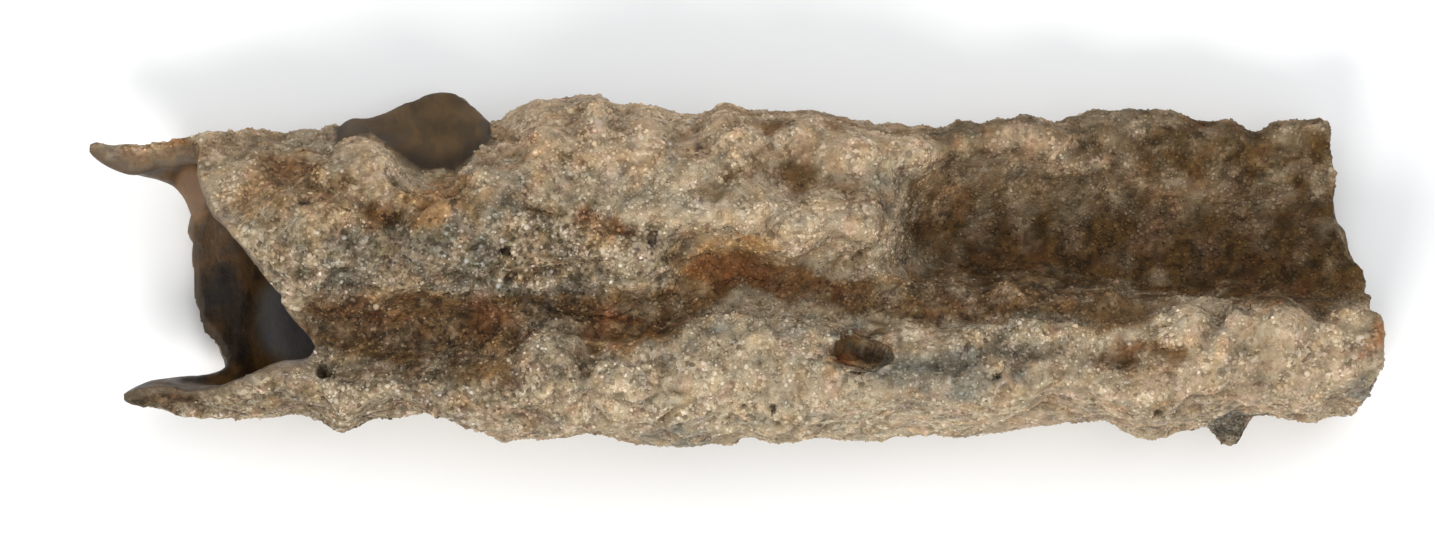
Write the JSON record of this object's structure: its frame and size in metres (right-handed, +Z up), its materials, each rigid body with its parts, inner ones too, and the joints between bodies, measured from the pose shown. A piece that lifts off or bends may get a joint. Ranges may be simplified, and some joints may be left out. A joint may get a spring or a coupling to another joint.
{
  "type": "fulgurite",
  "caption": "Hollow, crumpled tube of sand fused by lightning, lying on its side with a torn open mouth.",
  "frame": {"origin": "centre of the object's box in plan, at the height of the surface it lies on", "axes": "+X along the tube from the torn mouth to the broken end, +Z up, -Y towards the tall ridge"},
  "size_m": [0.065, 0.0178, 0.0129],
  "materials": {
    "sand_crusted_glass": "rough fused sand outside, smooth brown glass inside"
  },
  "bodies": {
    "root": {"fulgurite": "sand_crusted_glass"}
  },
  "joints": []
}
